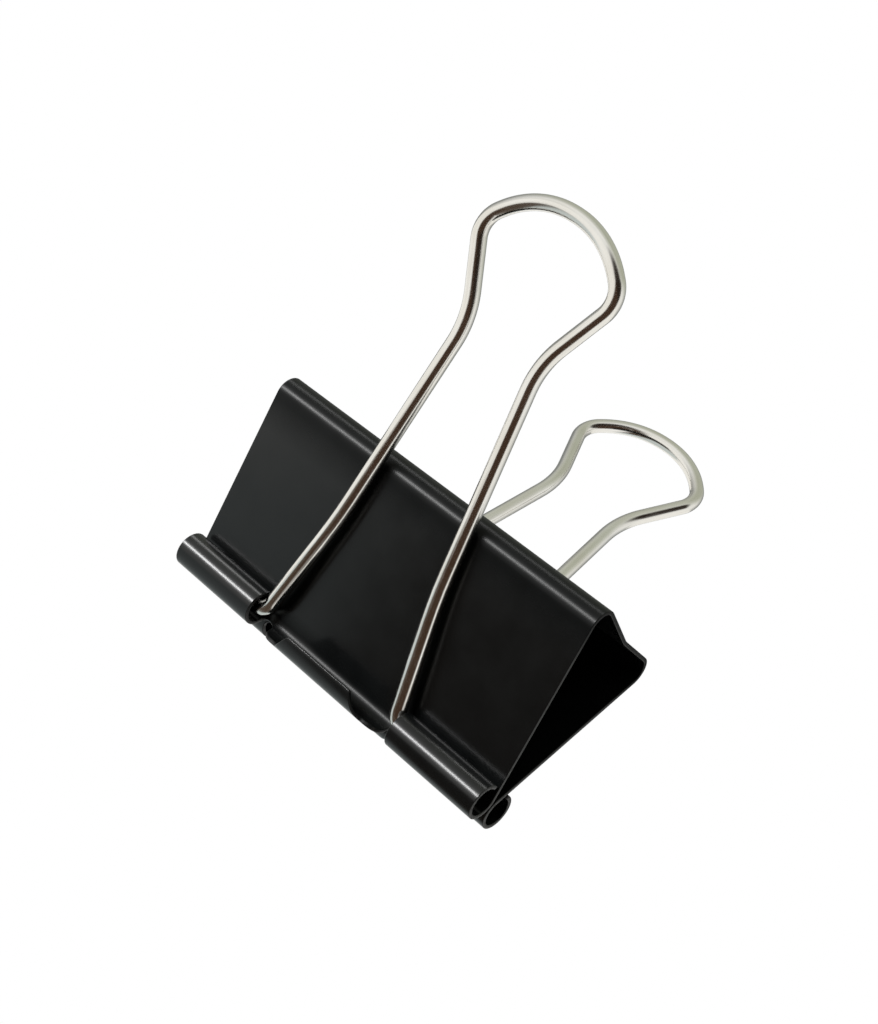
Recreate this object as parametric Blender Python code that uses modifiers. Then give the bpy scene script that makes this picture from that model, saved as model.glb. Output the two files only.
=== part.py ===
"""Large binder clip: one folded spring-steel sheet gripping with two jaws, and two wire handles.

The clip stands on the rolled edges of its jaws, with the spine on top and both handles folded back.
X runs along the jaws, Y from the front jaw to the rear jaw, and Z up from the jaws to the spine.
The sheet is one piece on the real clip. It is cut here along the middle of its spine, so that the
two jaws can turn apart where the real sheet flexes.
"""

import math

import bmesh
import bpy
from mathutils import Vector

# The sheet, in metres and radians
CLIP_WIDTH = 0.051
SHEET = 0.0005
JAW_GAP = 0.0003
WEDGE_ANGLE = math.radians(24.2)
PLATE_LENGTH = 0.0224
SHOULDER_RADIUS = 0.0019
SPINE_SLOPE = math.radians(5.3)
DIP_RADIUS = 0.005

# The rolled jaw edges: each curl starts at the plate and runs under the axis to its free lip
KNUCKLE_RADIUS = 0.00226
LIP_ANGLE = math.radians(80)
KNUCKLE_START = 0.0121
TAB_HALF_FOOT = 0.0071
TAB_HALF_TOP = 0.0053
TAB_HEIGHT = 0.0020

# The notch beside each knuckle, by the angle about the curl's axis: the sheet flares out behind the tab's foot
FOOT_ANGLE = math.radians(-103)
FLARE_START = 0.0076
FLARE_LOW_ANGLE = math.radians(-90)
FLARE_END = 0.0101
FLARE_HIGH_ANGLE = math.radians(-35)
ROOT_TOP_ANGLE = math.radians(-14)
NOTCH_TILT = math.radians(-55)

# The handles: corners of the bent wire as (distance from the middle, distance from the pivot, bend radius)
WIRE_DIAMETER = 0.0019
WIRE_END = 0.0210
HANDLE_LENGTH = 0.05835
HANDLE_BENDS = (
    (0.01125, 0.0, 0.0023),
    (0.0082, 0.0150, 0.060),
    (0.00533, 0.0428, 0.0110),
    (0.0102, 0.0529, 0.0033),
    (0.0050, HANDLE_LENGTH, 0.0113),
)
FRONT_LEAN = math.radians(22.8)
REAR_LEAN = math.radians(27.8)

# Fineness of the curved stretches
CURL_STEPS = 30
SHOULDER_STEPS = 7
DIP_STEPS = 3
BEND_STEP = math.radians(13)
WIRE_RESOLUTION = 6

# Places worked out from the sizes above
CURL_MIDDLE = KNUCKLE_RADIUS - SHEET / 2
AXIS_Y = KNUCKLE_RADIUS + JAW_GAP / 2
AXIS_Z = KNUCKLE_RADIUS
FRONT_REACH = HANDLE_LENGTH * math.sin(FRONT_LEAN)
REAR_REACH = HANDLE_LENGTH * math.sin(REAR_LEAN)
CENTRE_Y = (FRONT_REACH - REAR_REACH) / 2


def clear_scene():
    for item in list(bpy.data.objects):
        bpy.data.objects.remove(item, do_unlink=True)


def new_collection(name):
    collection = bpy.data.collections.new(name)
    bpy.context.scene.collection.children.link(collection)
    return collection


def painted_steel():
    material = bpy.data.materials.new("black_paint")
    material.use_nodes = True
    shader = material.node_tree.nodes["Principled BSDF"]
    shader.inputs["Base Color"].default_value = (0.012, 0.013, 0.013, 1.0)
    shader.inputs["Roughness"].default_value = 0.22
    shader.inputs["Metallic"].default_value = 0.0
    return material


def nickel_wire():
    material = bpy.data.materials.new("nickel_plate")
    material.use_nodes = True
    shader = material.node_tree.nodes["Principled BSDF"]
    shader.inputs["Base Color"].default_value = (0.72, 0.71, 0.67, 1.0)
    shader.inputs["Roughness"].default_value = 0.12
    shader.inputs["Metallic"].default_value = 1.0
    return material


def arc(centre, radius, start, end, steps):
    """Points on an arc in the (Y, Z) or (X, Z) plane, both ends included."""
    points = []
    for step in range(steps + 1):
        angle = start + (end - start) * step / steps
        points.append(centre + radius * Vector((math.cos(angle), math.sin(angle))))
    return points


def jaw_profile():
    """Mid-surface of the front half of the sheet as (Y, Z), from the free lip to the middle of the spine."""
    axis = Vector((-AXIS_Y, AXIS_Z))
    lip = LIP_ANGLE - 2 * math.pi
    curl = arc(axis, CURL_MIDDLE, lip, WEDGE_ANGLE, CURL_STEPS)
    outward = Vector((math.cos(WEDGE_ANGLE), math.sin(WEDGE_ANGLE)))
    along = Vector((-outward.y, outward.x))
    shoulder_centre = curl[-1] + PLATE_LENGTH * along + SHOULDER_RADIUS * outward
    shoulder_end = math.pi / 2 - SPINE_SLOPE
    shoulder = arc(shoulder_centre, SHOULDER_RADIUS, math.pi + WEDGE_ANGLE, shoulder_end, SHOULDER_STEPS)
    slope_run = -DIP_RADIUS * math.sin(SPINE_SLOPE) - shoulder[-1].x
    dip_start = shoulder[-1] + Vector((slope_run, -slope_run * math.tan(SPINE_SLOPE)))
    dip_centre = dip_start + DIP_RADIUS * Vector((math.sin(SPINE_SLOPE), math.cos(SPINE_SLOPE)))
    dip_end = -math.pi / 2 - math.asin(JAW_GAP / 2 / DIP_RADIUS)
    dip = arc(dip_centre, DIP_RADIUS, -math.pi / 2 - SPINE_SLOPE, dip_end, DIP_STEPS)
    return curl + shoulder + dip


def sheet_mesh(name, profile):
    """The profile drawn out along X as an open surface."""
    mesh = bpy.data.meshes.new(name)
    builder = bmesh.new()
    line = [builder.verts.new((-CLIP_WIDTH / 2, point.x, point.y)) for point in profile]
    edges = [builder.edges.new(pair) for pair in zip(line, line[1:])]
    drawn = bmesh.ops.extrude_edge_only(builder, edges=edges)
    far_side = [item for item in drawn["geom"] if isinstance(item, bmesh.types.BMVert)]
    bmesh.ops.translate(builder, verts=far_side, vec=(CLIP_WIDTH, 0, 0))
    bmesh.ops.recalc_face_normals(builder, faces=builder.faces)
    builder.to_mesh(mesh)
    builder.free()
    return mesh


def prism(name, outline, low_y, high_y, collection):
    """A cutter: a closed outline in (X, Z) drawn out along Y."""
    mesh = bpy.data.meshes.new(name)
    builder = bmesh.new()
    face = builder.faces.new([builder.verts.new((x, low_y, z)) for x, z in outline])
    drawn = bmesh.ops.extrude_face_region(builder, geom=[face])
    far_side = [item for item in drawn["geom"] if isinstance(item, bmesh.types.BMVert)]
    bmesh.ops.translate(builder, verts=far_side, vec=(0, high_y - low_y, 0))
    bmesh.ops.recalc_face_normals(builder, faces=builder.faces)
    builder.to_mesh(mesh)
    builder.free()
    cutter = bpy.data.objects.new(name, mesh)
    cutter.hide_render = True
    cutter.display_type = "WIRE"
    collection.objects.link(cutter)
    return cutter


def front_outline():
    """What the front of the curl loses: both notches and what is missing beside the tab, as (X, Z)."""
    below = -0.0004
    above = 2 * KNUCKLE_RADIUS + 0.0001
    right = [(TAB_HALF_FOOT, below), (TAB_HALF_FOOT, 0.0003), (TAB_HALF_TOP, TAB_HEIGHT)]
    left = [(-x, z) for x, z in reversed(right)]
    knuckles = [(-KNUCKLE_START, below), (-KNUCKLE_START, above), (KNUCKLE_START, above), (KNUCKLE_START, below)]
    return knuckles + right + left


def lip_outline():
    """What the free lip loses above the tab, as (X, Z)."""
    above = 2 * KNUCKLE_RADIUS + 0.0001
    return [
        (-KNUCKLE_START, TAB_HEIGHT),
        (-KNUCKLE_START, above),
        (KNUCKLE_START, above),
        (KNUCKLE_START, TAB_HEIGHT),
    ]


def around_curl(angle):
    """How far up the notch cutter's own face a place on the curl lies."""
    return CURL_MIDDLE * math.sin(angle - NOTCH_TILT)


def root_outline():
    """The rounded notch beside the right knuckle, seen along the tilted direction in which it is cut."""
    below = -KNUCKLE_RADIUS - 0.0004
    outline = [(TAB_HALF_FOOT, below), (TAB_HALF_FOOT, around_curl(FOOT_ANGLE))]
    for step in range(9):
        share = math.pi / 2 * step / 8
        angle = FLARE_LOW_ANGLE + (FLARE_HIGH_ANGLE - FLARE_LOW_ANGLE) * (1 - math.cos(share))
        outline.append((FLARE_START + (FLARE_END - FLARE_START) * math.sin(share), around_curl(angle)))
    middle = (KNUCKLE_START + FLARE_END) / 2
    half = (KNUCKLE_START - FLARE_END) / 2
    root = around_curl(FLARE_HIGH_ANGLE)
    rise = around_curl(ROOT_TOP_ANGLE) - root
    for step in range(1, 13):
        angle = math.pi * (1 - step / 12)
        outline.append((middle + half * math.cos(angle), root + rise * math.sin(angle)))
    outline.append((KNUCKLE_START, below))
    return outline


def jaw(name, turn, material, parts, cutters):
    """One half of the sheet: curl, plate, shoulder and half the spine, turned about Z for its side."""
    middle = Vector((0, CENTRE_Y, 0))
    axis = middle + Vector((0, -AXIS_Y * math.cos(turn), AXIS_Z))
    item = bpy.data.objects.new(name, sheet_mesh(name, jaw_profile()))
    item.data.materials.append(material)
    parts.objects.link(item)
    solid = item.modifiers.new("thickness", "SOLIDIFY")
    solid.thickness = SHEET
    solid.offset = 0
    solid.use_even_offset = True
    item.location = middle
    item.rotation_euler = (0, 0, turn)
    outer = -2 * AXIS_Y - SHEET
    foot = -AXIS_Y + CURL_MIDDLE * math.cos(FOOT_ANGLE)
    lip_edge = -AXIS_Y + KNUCKLE_RADIUS * math.cos(LIP_ANGLE) + SHEET / 2
    across = [
        prism(name + "_front_cut", front_outline(), outer, foot, cutters),
        prism(name + "_lip_cut", lip_outline(), outer, lip_edge, cutters),
    ]
    for shape in across:
        shape.location = middle
        shape.rotation_euler = (0, 0, turn)
    right = root_outline()
    left = [(-x, height) for x, height in reversed(right)]
    tilted = [
        prism(name + "_right_root_cut", right, 0.0008, KNUCKLE_RADIUS + SHEET, cutters),
        prism(name + "_left_root_cut", left, 0.0008, KNUCKLE_RADIUS + SHEET, cutters),
    ]
    for shape in tilted:
        shape.location = axis
        shape.rotation_euler = (NOTCH_TILT, 0, turn)
    for shape in across + tilted:
        cut = item.modifiers.new(shape.name, "BOOLEAN")
        cut.operation = "DIFFERENCE"
        cut.solver = "EXACT"
        cut.object = shape
    return item


def bent_wire():
    """Centre line of the handle as (X, Z): straight runs joined by the bends, from one wire end to the other."""
    corners = [(WIRE_END, 0.0, 0.0), *HANDLE_BENDS, (0.0, HANDLE_LENGTH, 0.0)]
    points = [Vector((WIRE_END, 0.0))]
    for before, here, after in zip(corners, corners[1:], corners[2:]):
        corner = Vector(here[:2])
        back = (Vector(before[:2]) - corner).normalized()
        onward = (Vector(after[:2]) - corner).normalized()
        half = back.angle(onward) / 2
        radius = here[2]
        start = corner + back * (radius / math.tan(half))
        centre = corner + (back + onward).normalized() * (radius / math.sin(half))
        sweep = math.pi - 2 * half
        steps = max(2, math.ceil(sweep / BEND_STEP))
        turn = math.copysign(sweep, (-back).cross(onward))
        spoke = start - centre
        for step in range(steps + 1):
            angle = turn * step / steps
            cosine, sine = math.cos(angle), math.sin(angle)
            points.append(centre + Vector((spoke.x * cosine - spoke.y * sine, spoke.x * sine + spoke.y * cosine)))
    mirrored = [Vector((-point.x, point.y)) for point in reversed(points)]
    return points + mirrored


def handle(name, lean, side, material, parts):
    """A wire handle with its origin on its hinge axis; side is -1 for the front jaw and 1 for the rear jaw."""
    curve = bpy.data.curves.new(name, "CURVE")
    curve.dimensions = "3D"
    curve.bevel_depth = WIRE_DIAMETER / 2
    curve.bevel_resolution = WIRE_RESOLUTION
    curve.use_fill_caps = True
    route = bent_wire()
    spline = curve.splines.new("POLY")
    spline.points.add(len(route) - 1)
    for point, place in zip(spline.points, route):
        point.co = (place.x, 0.0, place.y, 1.0)
    curve.materials.append(material)
    item = bpy.data.objects.new(name, curve)
    item.location = (0, CENTRE_Y + side * AXIS_Y, AXIS_Z)
    item.rotation_euler = (-side * lean, 0, 0)
    parts.objects.link(item)
    return item


def build():
    clear_scene()
    parts = new_collection("binder_clip")
    cutters = new_collection("cutters")
    paint = painted_steel()
    nickel = nickel_wire()
    jaw("front_jaw", 0.0, paint, parts, cutters)
    jaw("rear_jaw", math.pi, paint, parts, cutters)
    handle("front_handle", FRONT_LEAN, -1, nickel, parts)
    handle("rear_handle", REAR_LEAN, 1, nickel, parts)


build()
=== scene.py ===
import math

import bmesh
import bpy
from mathutils import Matrix, Vector


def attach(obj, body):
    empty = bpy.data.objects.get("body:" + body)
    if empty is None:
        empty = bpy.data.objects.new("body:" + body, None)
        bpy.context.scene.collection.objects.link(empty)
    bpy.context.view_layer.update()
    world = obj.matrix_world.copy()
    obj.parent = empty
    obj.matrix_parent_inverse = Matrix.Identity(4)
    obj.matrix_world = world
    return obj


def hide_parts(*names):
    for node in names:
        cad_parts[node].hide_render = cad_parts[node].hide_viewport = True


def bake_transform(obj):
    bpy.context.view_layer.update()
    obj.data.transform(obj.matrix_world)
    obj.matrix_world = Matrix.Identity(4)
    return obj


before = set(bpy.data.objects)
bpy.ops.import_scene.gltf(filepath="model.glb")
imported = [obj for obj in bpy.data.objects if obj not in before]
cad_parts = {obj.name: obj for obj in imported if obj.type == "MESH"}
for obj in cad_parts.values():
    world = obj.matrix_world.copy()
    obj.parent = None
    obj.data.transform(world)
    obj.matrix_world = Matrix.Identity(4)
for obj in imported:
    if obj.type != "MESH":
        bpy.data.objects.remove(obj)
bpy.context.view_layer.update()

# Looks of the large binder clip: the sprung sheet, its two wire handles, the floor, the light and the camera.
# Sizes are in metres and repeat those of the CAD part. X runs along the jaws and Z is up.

# The sheet
CLIP_WIDTH = 0.051
SHEET = 0.0005
JAW_GAP = 0.0003
WEDGE_ANGLE = math.radians(24.2)
PLATE_LENGTH = 0.0224
SHOULDER_RADIUS = 0.0019
SPINE_SLOPE = math.radians(5.3)
DIP_RADIUS = 0.005
KNUCKLE_RADIUS = 0.00226
LIP_ANGLE = math.radians(80 - 360)
KNUCKLE_START = 0.0121
TAB_HALF_TOP = 0.0053
TAB_HEIGHT = 0.0020
TAB_HALF_FOOT = 0.0070
FOOT_ANGLE = math.radians(-103)
FLARE_START = 0.0076
FLARE_LOW_ANGLE = math.radians(-90)
FLARE_END = 0.0101
FLARE_HIGH_ANGLE = math.radians(-35)
ROOT_TOP_ANGLE = math.radians(-14)

# How the sheet was sheared: rounded rim and corners
RIM_RADIUS = 0.00009
RIM_STEPS = 3
OUTER_CORNER = 0.0004
KNUCKLE_CORNER = 0.0005
TAB_CORNER = 0.0004
CORNER_STEPS = 6

# The handles: corners of the bent wire as (distance from the middle, distance from the pivot, bend radius).
# The diameter is a hair under the CAD wire's 1.9 mm, so that the rounder wire stays inside the CAD's box.
WIRE_DIAMETER = 0.00189
WIRE_END = 0.0210
HANDLE_LENGTH = 0.05835
HANDLE_BENDS = (
    (0.01125, 0.0, 0.0023),
    (0.0082, 0.0150, 0.060),
    (0.00533, 0.0428, 0.0110),
    (0.0102, 0.0529, 0.0033),
    (0.0050, HANDLE_LENGTH, 0.0113),
)
FRONT_LEAN = math.radians(22.8)
REAR_LEAN = math.radians(27.8)
END_ROUNDING = 0.00018
BEND_STEP = math.radians(2.5)
WIRE_SIDES = 32

# The flat blank is drawn and divided in these units, since Blender's mesh tools lose small faces in metres
MILLIMETRES = 1000

# How finely the path and the blank's edge are divided
CURL_STEPS = 84
SHOULDER_STEPS = 28
DIP_STEPS = 6
STRAIGHT_STEPS = 8
STRAIGHT_MARGIN = 0.00025
FLARE_STEPS = 12
ROOT_STEPS = 16
END_STEPS = 4

# Where the enamel is duller. It is stretched over the shoulders and spine, up to these distances from the
# spine's middle, and it is thin inside the fold of each tab, past these distances and this near the tab.
STRETCHED_START = 0.0125
STRETCHED_END = 0.0165
FOLD_START = 0.0325
FOLD_END = 0.0345
FOLD_NEAR = 0.0095
FOLD_FAR = 0.0110

# The enamel's colours
ENAMEL_DARK = (0.0027, 0.0031, 0.0032)
ENAMEL_PALE = (0.0036, 0.0041, 0.0042)
ENAMEL_WORN = (0.016, 0.0155, 0.015)

# The nickel's colours
NICKEL_BRIGHT = (0.80, 0.79, 0.765)
NICKEL_WARM = (0.74, 0.72, 0.675)
NICKEL_LINES = (0.50, 0.47, 0.42)

# Places worked out from the sizes above
CURL_MIDDLE = KNUCKLE_RADIUS - SHEET / 2
AXIS_Y = KNUCKLE_RADIUS + JAW_GAP / 2
AXIS_Z = KNUCKLE_RADIUS
CENTRE_Y = HANDLE_LENGTH * (math.sin(FRONT_LEAN) - math.sin(REAR_LEAN)) / 2

# The camera
CAMERA_PLACE = (0.09041, -0.16629, 0.00670)
CAMERA_AZIMUTH = math.radians(29.75)
CAMERA_ELEVATION = math.radians(-5.43)
CAMERA_ROLL = math.radians(40.15)
CAMERA_LENS = 56.1

# The tent: its cloth at the sides, behind the clip and overhead, and its opening
CLOTH_SIDES = (0.98, 0.98, 0.95)
CLOTH_BEHIND = (0.27, 0.28, 0.27)
CLOTH_OVERHEAD = (0.50, 0.52, 0.43)
OPENING_AZIMUTH = math.radians(36)
OPENING_COLOUR = (0.024, 0.016, 0.012)

# The strip lights: direction from the clip, size and power
STRIP_DISTANCE = 0.45
STRIPS = {
    "front_strip": ((-0.49, -0.85, 0.07), (0.32, 0.060), 2.5),
    "top_strip": ((-0.49, -0.30, 0.80), (0.60, 0.060), 0.7),
}
STRIP_AIM = Vector((0, CENTRE_Y, 0.015))

# The floor, below the reach of a handle that is folded down, glows and is seen only in reflections: pale,
# with painted shade near the clip, a painted pool of light on the left of a soft edge, and painted shade
# below the tent's opening.
FLOOR_RADIUS = 3.0
FLOOR_HEIGHT = -0.060
FLOOR_PALE = (1.05, 1.04, 1.00)
FLOOR_PAINTED_SHADE = (0.085, 0.062, 0.046)
FLOOR_PAINTED_POOL = (1.10, 1.22, 1.22)
FLOOR_PAINTED_OPENING_SHADE = (0.060, 0.036, 0.024)
PAINTED_POOL_AZIMUTH = math.radians(-32)


# ---------------------------------------------------------------- the sheet's path


def arc_piece(centre, radius, start, end):
    length = radius * abs(end - start)
    return {"length": length, "centre": centre, "radius": radius, "start": start, "end": end}


def line_piece(start, end):
    return {"length": (end - start).length, "from": start, "to": end}


def direction(angle):
    return Vector((math.cos(angle), math.sin(angle)))


def half_path():
    """The sheet's mid-surface in (Y, Z), from the front lip to the middle of the spine, as arcs and lines."""
    curl = arc_piece(Vector((-AXIS_Y, AXIS_Z)), CURL_MIDDLE, LIP_ANGLE, WEDGE_ANGLE)
    plate_start = curl["centre"] + CURL_MIDDLE * direction(WEDGE_ANGLE)
    plate_end = plate_start + PLATE_LENGTH * direction(WEDGE_ANGLE + math.pi / 2)
    shoulder_centre = plate_end + SHOULDER_RADIUS * direction(WEDGE_ANGLE)
    shoulder_end = math.pi / 2 - SPINE_SLOPE
    shoulder = arc_piece(shoulder_centre, SHOULDER_RADIUS, math.pi + WEDGE_ANGLE, shoulder_end)
    slope_start = shoulder_centre + SHOULDER_RADIUS * direction(shoulder_end)
    slope_run = -DIP_RADIUS * math.sin(SPINE_SLOPE) - slope_start.x
    dip_start = slope_start + Vector((slope_run, -slope_run * math.tan(SPINE_SLOPE)))
    dip_centre = dip_start + DIP_RADIUS * direction(math.pi / 2 - SPINE_SLOPE)
    dip = arc_piece(dip_centre, DIP_RADIUS, -math.pi / 2 - SPINE_SLOPE, -math.pi / 2)
    return [curl, line_piece(plate_start, plate_end), shoulder, line_piece(slope_start, dip_start), dip]


HALF_PATH = half_path()
HALF_LENGTH = sum(piece["length"] for piece in HALF_PATH)


def on_path(travelled):
    """The mid-surface point and the outward normal in (Y, Z), this far along the sheet from the front lip."""
    side = 1 if travelled <= HALF_LENGTH else -1
    left = min(travelled, 2 * HALF_LENGTH - travelled)
    for piece in HALF_PATH:
        if left <= piece["length"] or piece is HALF_PATH[-1]:
            break
        left -= piece["length"]
    if "centre" in piece:
        share = left / piece["length"]
        spoke = direction(piece["start"] + (piece["end"] - piece["start"]) * share)
        point = piece["centre"] + piece["radius"] * spoke
        normal = -spoke if piece["end"] > piece["start"] else spoke
    else:
        along = (piece["to"] - piece["from"]).normalized()
        point = piece["from"] + along * left
        normal = Vector((-along.y, along.x))
    return Vector((side * point.x, point.y)), Vector((side * normal.x, normal.y))


def bend_lines():
    """Distances along the sheet at which its faces are divided, close together in the bends."""
    lines = []
    travelled = 0.0
    steps = {0: CURL_STEPS, 2: SHOULDER_STEPS, 4: DIP_STEPS}
    for number, piece in enumerate(HALF_PATH):
        if number in steps:
            shares = [step / steps[number] for step in range(steps[number] + 1)]
            lines += [travelled + piece["length"] * share for share in shares]
        else:
            inner = (piece["length"] - 2 * STRAIGHT_MARGIN) / STRAIGHT_STEPS
            lines += [travelled + STRAIGHT_MARGIN + inner * step for step in range(STRAIGHT_STEPS + 1)]
        travelled += piece["length"]
    front = [line for line in lines if 0.0001 < line < HALF_LENGTH - 0.00005]
    return front + [HALF_LENGTH] + [2 * HALF_LENGTH - line for line in front]


# ---------------------------------------------------------------- the flat blank


def curl_distance(angle):
    return CURL_MIDDLE * (angle - LIP_ANGLE)


def low_edge():
    """Right half of the blank's end at the front lip, middle first, as (x, distance, corner radius)."""
    top_angle = -math.pi - math.asin((TAB_HEIGHT - AXIS_Z) / CURL_MIDDLE)
    points = [
        (TAB_HALF_TOP, curl_distance(top_angle), TAB_CORNER),
        (TAB_HALF_FOOT, curl_distance(FOOT_ANGLE), TAB_CORNER),
    ]
    for step in range(FLARE_STEPS + 1):
        share = math.pi / 2 * step / FLARE_STEPS
        angle = FLARE_LOW_ANGLE + (FLARE_HIGH_ANGLE - FLARE_LOW_ANGLE) * (1 - math.cos(share))
        points.append((FLARE_START + (FLARE_END - FLARE_START) * math.sin(share), curl_distance(angle), 0.0))
    middle = (KNUCKLE_START + FLARE_END) / 2
    half = (KNUCKLE_START - FLARE_END) / 2
    root = curl_distance(FLARE_HIGH_ANGLE)
    rise = curl_distance(ROOT_TOP_ANGLE) - root
    for step in range(1, ROOT_STEPS + 1):
        angle = math.pi * (1 - step / ROOT_STEPS)
        points.append((middle + half * math.cos(angle), root + rise * math.sin(angle), 0.0))
    points.append((KNUCKLE_START, 0.0, KNUCKLE_CORNER))
    points.append((CLIP_WIDTH / 2, 0.0, OUTER_CORNER))
    return points


def blank_outline():
    """The flat blank's outline as (x, distance), anticlockwise, with its corners rounded."""
    right = low_edge()
    low = [(-x, distance, radius) for x, distance, radius in reversed(right)] + right
    high = [(x, 2 * HALF_LENGTH - distance, radius) for x, distance, radius in reversed(low)]
    corners = low + high
    outline = []
    for number, (x, distance, radius) in enumerate(corners):
        here = Vector((x, distance))
        if radius == 0.0:
            outline.append(here)
            continue
        back = (Vector(corners[number - 1][:2]) - here).normalized()
        onward = (Vector(corners[(number + 1) % len(corners)][:2]) - here).normalized()
        half = back.angle(onward) / 2
        reach = radius / math.tan(half)
        centre = here + (back + onward).normalized() * radius / math.sin(half)
        first = here + back * reach - centre
        last = here + onward * reach - centre
        turn = first.angle_signed(last)
        for step in range(CORNER_STEPS + 1):
            spoke = first.copy()
            spoke.rotate(Matrix.Rotation(-turn * step / CORNER_STEPS, 2))
            outline.append(centre + spoke)
    return outline


def inset(outline, amount):
    """The outline moved inwards by an amount."""
    moved = []
    for number, here in enumerate(outline):
        before = (here - outline[number - 1]).normalized()
        after = (outline[(number + 1) % len(outline)] - here).normalized()
        inward = Vector((-before.y - after.y, before.x + after.x)) / (1 + before.dot(after))
        moved.append(here + inward * amount)
    return moved


def flat_sheet():
    """The blank as a solid with a rounded rim, divided along the lines where it will bend, in millimetres."""
    builder = bmesh.new()
    outline = blank_outline()
    rings = []
    levels = []
    for step in range(RIM_STEPS + 1):
        angle = math.pi / 2 * step / RIM_STEPS
        levels.append((RIM_RADIUS * (1 - math.sin(angle)), SHEET / 2 - RIM_RADIUS * (1 - math.cos(angle))))
    levels += [(amount, -height) for amount, height in reversed(levels)]
    for amount, height in levels:
        ring = []
        for place in inset(outline, amount):
            corner = (place.x * MILLIMETRES, place.y * MILLIMETRES, height * MILLIMETRES)
            ring.append(builder.verts.new(corner))
        rings.append(ring)
    for upper, lower in zip(rings, rings[1:]):
        for number in range(len(outline)):
            following = (number + 1) % len(outline)
            builder.faces.new((upper[number], lower[number], lower[following], upper[following]))
    builder.faces.new(rings[0])
    builder.faces.new(list(reversed(rings[-1])))
    for line in bend_lines():
        everything = builder.verts[:] + builder.edges[:] + builder.faces[:]
        bmesh.ops.bisect_plane(
            builder, geom=everything, dist=0.0001, plane_co=(0, line * MILLIMETRES, 0), plane_no=(0, 1, 0)
        )
    for vertex in builder.verts:
        vertex.co *= 1 / MILLIMETRES
    builder.normal_update()
    for edge in builder.edges:
        flat = [abs(face.normal.z) > 0.9999 for face in edge.link_faces]
        edge.smooth = flat[0] == flat[1]
    for face in builder.faces:
        face.smooth = True
    mesh = bpy.data.meshes.new("spring_sheet")
    builder.to_mesh(mesh)
    builder.free()
    return mesh


def spring_sheet(material):
    """The one bent sheet: both jaws with their rolled edges, and the spine between them."""
    mesh = flat_sheet()
    item = bpy.data.objects.new("spring_sheet", mesh)
    bpy.context.scene.collection.objects.link(item)
    flat_places = [vertex.co.copy() for vertex in mesh.vertices]
    blank = mesh.attributes.new("blank", "FLOAT_VECTOR", "POINT")
    for number, place in enumerate(flat_places):
        blank.data[number].vector = place
    rim = mesh.attributes.new("rim", "FLOAT", "POINT")
    for number, place in enumerate(flat_places):
        rim.data[number].value = min(1.0, (SHEET / 2 - abs(place.z)) / RIM_RADIUS)
    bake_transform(item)
    for vertex, place in zip(mesh.vertices, flat_places):
        point, normal = on_path(place.y)
        formed = point + normal * place.z
        vertex.co = (place.x, CENTRE_Y + formed.x, formed.y)
    mesh.materials.append(material)
    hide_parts("front_jaw", "rear_jaw")
    return item


# ---------------------------------------------------------------- the wire handles


def bent_wire():
    """Centre line of the handle as (x, height): straight runs joined by bends, from one end to the other."""
    corners = [(WIRE_END, 0.0, 0.0), *HANDLE_BENDS, (0.0, HANDLE_LENGTH, 0.0)]
    points = [Vector((WIRE_END, 0.0))]
    for before, here, after in zip(corners, corners[1:], corners[2:]):
        corner = Vector(here[:2])
        back = (Vector(before[:2]) - corner).normalized()
        onward = (Vector(after[:2]) - corner).normalized()
        half = back.angle(onward) / 2
        radius = here[2]
        start = corner + back * (radius / math.tan(half))
        centre = corner + (back + onward).normalized() * (radius / math.sin(half))
        sweep = math.pi - 2 * half
        steps = max(2, math.ceil(sweep / BEND_STEP))
        turn = math.copysign(sweep, (-back).cross(onward))
        spoke = start - centre
        for step in range(steps + 1):
            angle = turn * step / steps
            cosine, sine = math.cos(angle), math.sin(angle)
            turned = Vector((spoke.x * cosine - spoke.y * sine, spoke.x * sine + spoke.y * cosine))
            points.append(centre + turned)
    mirrored = [Vector((-point.x, point.y)) for point in reversed(points)]
    return points + mirrored


def wire_rings():
    """Rings along the wire as (centre, forward, radius, distance along), with the cut ends rounded."""
    route = bent_wire()
    radius = WIRE_DIAMETER / 2
    rings = []
    travelled = 0.0
    for number, here in enumerate(route):
        before = route[max(number - 1, 0)]
        after = route[min(number + 1, len(route) - 1)]
        travelled += (here - before).length
        rings.append((here, (after - before).normalized(), radius, travelled))
    rounded = []
    for step in range(END_STEPS):
        angle = math.pi / 2 * step / END_STEPS
        rounded.append((END_ROUNDING * (1 - math.sin(angle)), END_ROUNDING * (1 - math.cos(angle))))
    start, forward = rings[0][:2]
    end, onward, total = rings[-1][0], rings[-1][1], travelled
    first = [(start + forward * sink, forward, radius - shrink, sink) for shrink, sink in rounded]
    first.append((start + forward * END_ROUNDING, forward, radius, END_ROUNDING))
    last = [(end - onward * END_ROUNDING, onward, radius, total - END_ROUNDING)]
    for shrink, sink in reversed(rounded):
        last.append((end - onward * sink, onward, radius - shrink, total - sink))
    return first + rings[1:-1] + last


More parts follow.
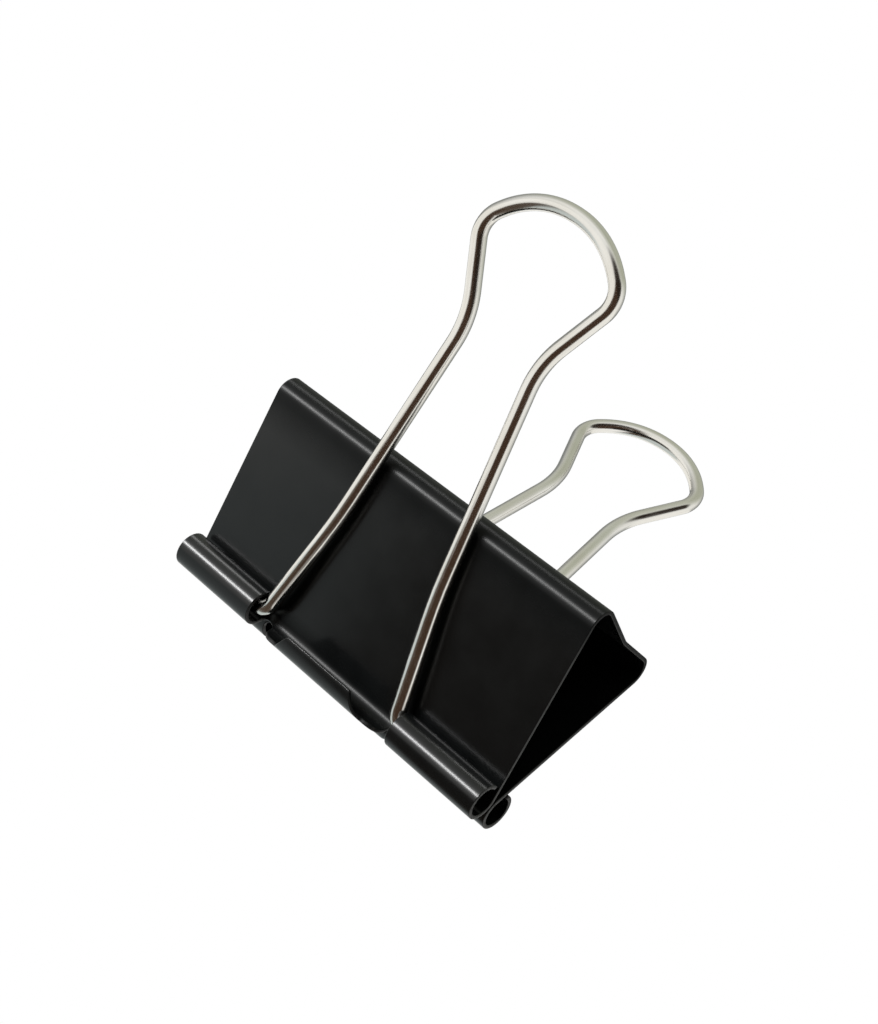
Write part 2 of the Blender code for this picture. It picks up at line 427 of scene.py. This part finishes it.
def handle(name, lean, side, material):
    """A wire handle on its hinge axis; side is -1 for the front jaw and 1 for the rear jaw."""
    mesh = bpy.data.meshes.new(name + "_wire")
    builder = bmesh.new()
    drawn_places = []
    rings = []
    for centre, forward, radius, travelled in wire_rings():
        across = Vector((-forward.y, forward.x))
        ring = []
        for step in range(WIRE_SIDES):
            angle = 2 * math.pi * step / WIRE_SIDES
            sideways = radius * math.cos(angle)
            outwards = radius * math.sin(angle)
            ring.append(
                builder.verts.new((centre.x + across.x * sideways, outwards, centre.y + across.y * sideways))
            )
            drawn_places.append((travelled, sideways, outwards))
        rings.append(ring)
    for here, onward in zip(rings, rings[1:]):
        for number in range(WIRE_SIDES):
            following = (number + 1) % WIRE_SIDES
            face = builder.faces.new((here[number], here[following], onward[following], onward[number]))
            face.smooth = True
    cut_ends = [builder.faces.new(list(reversed(rings[0]))), builder.faces.new(rings[-1])]
    bmesh.ops.recalc_face_normals(builder, faces=builder.faces[:])
    for cut_end in cut_ends:
        for edge in cut_end.edges:
            edge.smooth = False
    builder.to_mesh(mesh)
    builder.free()
    drawn = mesh.attributes.new("drawn", "FLOAT_VECTOR", "POINT")
    for number, place in enumerate(drawn_places):
        drawn.data[number].vector = place
    mesh.materials.append(material)
    hinge = Matrix.Translation((0, CENTRE_Y + side * AXIS_Y, AXIS_Z))
    mesh.transform(hinge @ Matrix.Rotation(-side * lean, 4, "X"))
    item = bpy.data.objects.new(name + "_wire", mesh)
    bpy.context.scene.collection.objects.link(item)
    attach(item, name)
    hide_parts(name)
    return item


# ---------------------------------------------------------------- materials


def new_material(name):
    material = bpy.data.materials.new(name)
    material.use_nodes = True
    return material, material.node_tree, material.node_tree.nodes["Principled BSDF"]


def attribute(tree, name):
    node = tree.nodes.new("ShaderNodeAttribute")
    node.attribute_name = name
    return node


def noise(tree, vector, scale, detail=3.0, stretch=(1.0, 1.0, 1.0)):
    """A noise value over a vector that is first stretched along each axis."""
    mapping = tree.nodes.new("ShaderNodeMapping")
    mapping.inputs["Scale"].default_value = stretch
    node = tree.nodes.new("ShaderNodeTexNoise")
    node.inputs["Scale"].default_value = scale
    node.inputs["Detail"].default_value = detail
    tree.links.new(vector, mapping.inputs["Vector"])
    tree.links.new(mapping.outputs["Vector"], node.inputs["Vector"])
    return node.outputs[0]


def mapped(tree, value, low, high, to_low, to_high):
    node = tree.nodes.new("ShaderNodeMapRange")
    node.inputs["From Min"].default_value = low
    node.inputs["From Max"].default_value = high
    node.inputs["To Min"].default_value = to_low
    node.inputs["To Max"].default_value = to_high
    tree.links.new(value, node.inputs["Value"])
    return node.outputs["Result"]


def arithmetic(tree, operation, first, second):
    node = tree.nodes.new("ShaderNodeMath")
    node.operation = operation
    for socket, value in zip(node.inputs, (first, second)):
        if isinstance(value, float):
            socket.default_value = value
        else:
            tree.links.new(value, socket)
    return node.outputs[0]


def colour_mix(tree, share, first, second):
    node = tree.nodes.new("ShaderNodeMix")
    node.data_type = "RGBA"
    for socket, colour in ((node.inputs[6], first), (node.inputs[7], second)):
        if isinstance(colour, tuple):
            socket.default_value = (*colour, 1.0)
        else:
            tree.links.new(colour, socket)
    tree.links.new(share, node.inputs[0])
    return node.outputs[2]


def vector_math(tree, operation, first, second=None):
    node = tree.nodes.new("ShaderNodeVectorMath")
    node.operation = operation
    tree.links.new(first, node.inputs[0])
    if second is not None:
        node.inputs[1].default_value = second
    return node


def camera_mix(tree, elsewhere, to_camera):
    """One shader for what the camera sees directly and another for light and reflections."""
    path = tree.nodes.new("ShaderNodeLightPath")
    node = tree.nodes.new("ShaderNodeMixShader")
    tree.links.new(path.outputs["Is Camera Ray"], node.inputs["Fac"])
    tree.links.new(elsewhere, node.inputs[1])
    tree.links.new(to_camera, node.inputs[2])
    return node.outputs["Shader"]


def bump(tree, height, distance, strength, under=None):
    node = tree.nodes.new("ShaderNodeBump")
    node.inputs["Distance"].default_value = distance
    node.inputs["Strength"].default_value = strength
    tree.links.new(height, node.inputs["Height"])
    if under is not None:
        tree.links.new(under, node.inputs["Normal"])
    return node.outputs["Normal"]


def separated(tree, vector):
    node = tree.nodes.new("ShaderNodeSeparateXYZ")
    tree.links.new(vector, node.inputs["Vector"])
    return node.outputs


def dull_share(tree, place):
    """1 where the enamel is stretched or folded and 0 elsewhere, from the place on the flat blank."""
    x, travelled, height = separated(tree, place)
    from_middle = arithmetic(tree, "ABSOLUTE", arithmetic(tree, "SUBTRACT", travelled, HALF_LENGTH), 0.0)
    sideways = arithmetic(tree, "ABSOLUTE", x, 0.0)
    stretched = mapped(tree, from_middle, STRETCHED_END, STRETCHED_START, 0.0, 1.0)
    curled = mapped(tree, from_middle, FOLD_START, FOLD_END, 0.0, 1.0)
    near_tab = mapped(tree, sideways, FOLD_FAR, FOLD_NEAR, 0.0, 1.0)
    inside = mapped(tree, height, -0.0001, 0.0001, 0.0, 1.0)
    folded = arithmetic(tree, "MULTIPLY", arithmetic(tree, "MULTIPLY", curled, near_tab), inside)
    return arithmetic(tree, "MAXIMUM", stretched, folded)


def black_paint():
    """Thin gloss black enamel with faint orange peel, waviness and fine rubbed marks. It is duller where it
    was stretched or folded, and along the rim, where it is also worn."""
    material, tree, shader = new_material("black_gloss_enamel")
    place = attribute(tree, "blank").outputs["Vector"]
    rim = attribute(tree, "rim").outputs["Fac"]
    clouds = noise(tree, place, 260.0, 4.0)
    peel = noise(tree, place, 2400.0, 2.0)
    waves = noise(tree, place, 110.0, 1.0)
    rubbed = noise(tree, place, 1.0, 2.0, (400.0, 9000.0, 400.0))
    chips = noise(tree, place, 2600.0, 4.0)
    body = colour_mix(tree, mapped(tree, clouds, 0.3, 0.7, 0.0, 1.0), ENAMEL_DARK, ENAMEL_PALE)
    worn = arithmetic(tree, "MULTIPLY", rim, mapped(tree, chips, 0.50, 0.66, 0.0, 1.0))
    tree.links.new(colour_mix(tree, worn, body, ENAMEL_WORN), shader.inputs["Base Color"])
    marks = mapped(tree, rubbed, 0.50, 0.80, 0.0, 0.008)
    soft = arithmetic(tree, "ADD", mapped(tree, clouds, 0.3, 0.7, 0.205, 0.245), marks)
    dull = dull_share(tree, place)
    soft = arithmetic(tree, "ADD", soft, arithmetic(tree, "MULTIPLY", dull, 0.06))
    soft = arithmetic(tree, "ADD", soft, arithmetic(tree, "MULTIPLY", rim, 0.20))
    soft = arithmetic(tree, "ADD", soft, arithmetic(tree, "MULTIPLY", worn, 0.25))
    tree.links.new(soft, shader.inputs["Roughness"])
    tree.links.new(mapped(tree, dull, 0.0, 1.0, 0.42, 0.15), shader.inputs["Specular IOR Level"])
    waviness = bump(tree, waves, 0.0004, 0.018)
    tree.links.new(bump(tree, peel, 0.00001, 0.014, waviness), shader.inputs["Normal"])
    shader.inputs["IOR"].default_value = 1.45
    return material


def nickel_plate():
    """Bright nickel on drawn wire: lines along the wire, faint haze and a slightly warm tint in patches."""
    material, tree, shader = new_material("bright_nickel")
    place = attribute(tree, "drawn").outputs["Vector"]
    lines = noise(tree, place, 1.0, 3.0, (90.0, 7000.0, 7000.0))
    haze = noise(tree, place, 420.0, 4.0)
    patches = noise(tree, place, 130.0, 2.0)
    pits = noise(tree, place, 6500.0, 2.0)
    tint = colour_mix(tree, mapped(tree, patches, 0.35, 0.65, 0.0, 1.0), NICKEL_BRIGHT, NICKEL_WARM)
    streaked = colour_mix(tree, mapped(tree, lines, 0.55, 0.75, 0.0, 0.35), tint, NICKEL_LINES)
    tree.links.new(streaked, shader.inputs["Base Color"])
    hazy = mapped(tree, haze, 0.3, 0.7, 0.13, 0.19)
    lined = mapped(tree, lines, 0.4, 0.7, 0.0, 0.06)
    tree.links.new(arithmetic(tree, "ADD", hazy, lined), shader.inputs["Roughness"])
    drawn = bump(tree, lines, 0.000006, 0.10)
    tree.links.new(bump(tree, pits, 0.000004, 0.06, drawn), shader.inputs["Normal"])
    shader.inputs["Metallic"].default_value = 1.0
    return material


def floor_reflection(tree):
    """What the gloss reflects of the glowing floor: pale, with painted shade near the clip except for a
    painted pool of light at the left, and painted shade below the tent's opening."""
    place = tree.nodes.new("ShaderNodeTexCoord").outputs["Object"]
    distance = vector_math(tree, "LENGTH", place).outputs["Value"]
    leftward = vector_math(tree, "DOT_PRODUCT", place, (math.cos(PAINTED_POOL_AZIMUTH), math.sin(PAINTED_POOL_AZIMUTH), 0.0))
    # Painted shade near the clip, turned into a painted pool of light on the left of a soft edge
    left = mapped(tree, leftward.outputs["Value"], -0.0175, -0.0085, 0.55, 0.0)
    near = colour_mix(tree, left, FLOOR_PAINTED_SHADE, FLOOR_PAINTED_POOL)
    outer = mapped(tree, distance, 0.125, 0.150, 0.0, 1.0)
    right = mapped(tree, separated(tree, place)["X"], 0.030, 0.050, 0.0, 1.0)
    ground = colour_mix(tree, arithmetic(tree, "MAXIMUM", outer, right), near, FLOOR_PALE)
    # Painted shade on the floor below the tent's opening
    heading = vector_math(tree, "NORMALIZE", place).outputs["Vector"]
    towards = vector_math(tree, "DOT_PRODUCT", heading, opening_direction()).outputs["Value"]
    painted_opening_shade = mapped(tree, towards, 0.70, 0.80, 0.0, 1.0)
    beyond = mapped(tree, distance, 0.050, 0.070, 0.0, 1.0)
    return colour_mix(tree, arithmetic(tree, "MULTIPLY", painted_opening_shade, beyond), ground, FLOOR_PAINTED_OPENING_SHADE)


def floor_with_painted_light():
    """The floor's material. The camera sees the white backdrop through it, so it never hides the clip. For
    light and reflections it glows, with painted shade and a painted pool of light on it.
    """
    material = bpy.data.materials.new("floor_with_painted_light")
    material.use_nodes = True
    material.cycles.emission_sampling = "NONE"
    tree = material.node_tree
    tree.nodes.remove(tree.nodes["Principled BSDF"])
    seen = tree.nodes.new("ShaderNodeBsdfTransparent")
    reflected = tree.nodes.new("ShaderNodeEmission")
    tree.links.new(floor_reflection(tree), reflected.inputs["Color"])
    mixed = camera_mix(tree, reflected.outputs["Emission"], seen.outputs["BSDF"])
    tree.links.new(mixed, tree.nodes["Material Output"].inputs["Surface"])
    return material


# ---------------------------------------------------------------- floor, light and camera


def camera_back():
    """From the object towards the camera."""
    flat = math.cos(CAMERA_ELEVATION)
    return Vector((
        math.sin(CAMERA_AZIMUTH) * flat, -math.cos(CAMERA_AZIMUTH) * flat, math.sin(CAMERA_ELEVATION)
    ))


def floor():
    mesh = bpy.data.meshes.new("floor")
    builder = bmesh.new()
    bmesh.ops.create_circle(builder, cap_ends=True, segments=96, radius=FLOOR_RADIUS)
    builder.to_mesh(mesh)
    builder.free()
    mesh.materials.append(floor_with_painted_light())
    item = bpy.data.objects.new("floor", mesh)
    item.location = (0, 0, FLOOR_HEIGHT)
    bpy.context.scene.collection.objects.link(item)


def opening_direction():
    """From the object towards the middle of the tent's opening, a little to the right of the camera."""
    return Vector((math.sin(OPENING_AZIMUTH), -math.cos(OPENING_AZIMUTH), 0.0))


def tent_light():
    """A white tent, dimmer behind the clip, with a dark soft-edged opening on the camera's side."""
    world = bpy.data.worlds.new("tent")
    world.use_nodes = True
    tree = world.node_tree
    tree.nodes.clear()
    place = tree.nodes.new("ShaderNodeTexCoord").outputs["Generated"]
    facing = vector_math(tree, "DOT_PRODUCT", place, opening_direction()).outputs["Value"]
    sides = colour_mix(tree, mapped(tree, facing, -0.65, 0.20, 0.0, 1.0), CLOTH_BEHIND, CLOTH_SIDES)
    overhead = mapped(tree, separated(tree, place)["Z"], 0.45, 0.90, 0.0, 1.0)
    cloth = colour_mix(tree, overhead, sides, CLOTH_OVERHEAD)
    shade = colour_mix(tree, mapped(tree, facing, 0.70, 0.82, 0.0, 1.0), cloth, OPENING_COLOUR)
    tent = tree.nodes.new("ShaderNodeBackground")
    tree.links.new(shade, tent.inputs["Color"])
    backdrop = tree.nodes.new("ShaderNodeBackground")
    backdrop.inputs["Color"].default_value = (1.0, 1.0, 1.0, 1.0)
    mixed = camera_mix(tree, tent.outputs["Background"], backdrop.outputs["Background"])
    output = tree.nodes.new("ShaderNodeOutputWorld")
    tree.links.new(mixed, output.inputs["Surface"])
    bpy.context.scene.world = world


def strip_light(name, towards, size, power, lit):
    """A soft light on one collection, aimed at the clip's middle, its long side as near to X as can be."""
    lamp = bpy.data.lights.new(name, "AREA")
    lamp.shape = "RECTANGLE"
    lamp.size, lamp.size_y = size
    lamp.energy = power
    item = bpy.data.objects.new(name, lamp)
    back = Vector(towards).normalized()
    side = (Vector((1, 0, 0)) - back * back.x).normalized()
    turn = Matrix((side, back.cross(side), back)).transposed()
    item.matrix_world = Matrix.Translation(STRIP_AIM + back * STRIP_DISTANCE) @ turn.to_4x4()
    item.light_linking.receiver_collection = lit
    bpy.context.scene.collection.objects.link(item)


def lights(sheet):
    """The tent lights everything; the two strips draw the soft lines along the painted sheet alone."""
    tent_light()
    painted = bpy.data.collections.new("painted")
    painted.objects.link(sheet)
    for name, (towards, size, power) in STRIPS.items():
        strip_light(name, towards, size, power, painted)


def camera():
    back = camera_back()
    right = (-back).cross(Vector((0, 0, 1))).normalized()
    up = right.cross(-back)
    cosine, sine = math.cos(CAMERA_ROLL), math.sin(CAMERA_ROLL)
    rolled_right = right * cosine + up * sine
    rolled_up = up * cosine - right * sine
    data = bpy.data.cameras.new("camera")
    data.lens = CAMERA_LENS
    data.sensor_width = 36.0
    data.clip_start = 0.005
    data.clip_end = 20.0
    item = bpy.data.objects.new("camera", data)
    turn = Matrix((rolled_right, rolled_up, back)).transposed()
    item.matrix_world = Matrix.Translation(CAMERA_PLACE) @ turn.to_4x4()
    bpy.context.scene.collection.objects.link(item)
    bpy.context.scene.camera = item


def build():
    paint = black_paint()
    nickel = nickel_plate()
    sheet = spring_sheet(paint)
    handle("front_handle", FRONT_LEAN, -1, nickel)
    handle("rear_handle", REAR_LEAN, 1, nickel)
    floor()
    lights(sheet)
    camera()
    bpy.context.scene.view_settings.view_transform = "Standard"


build()
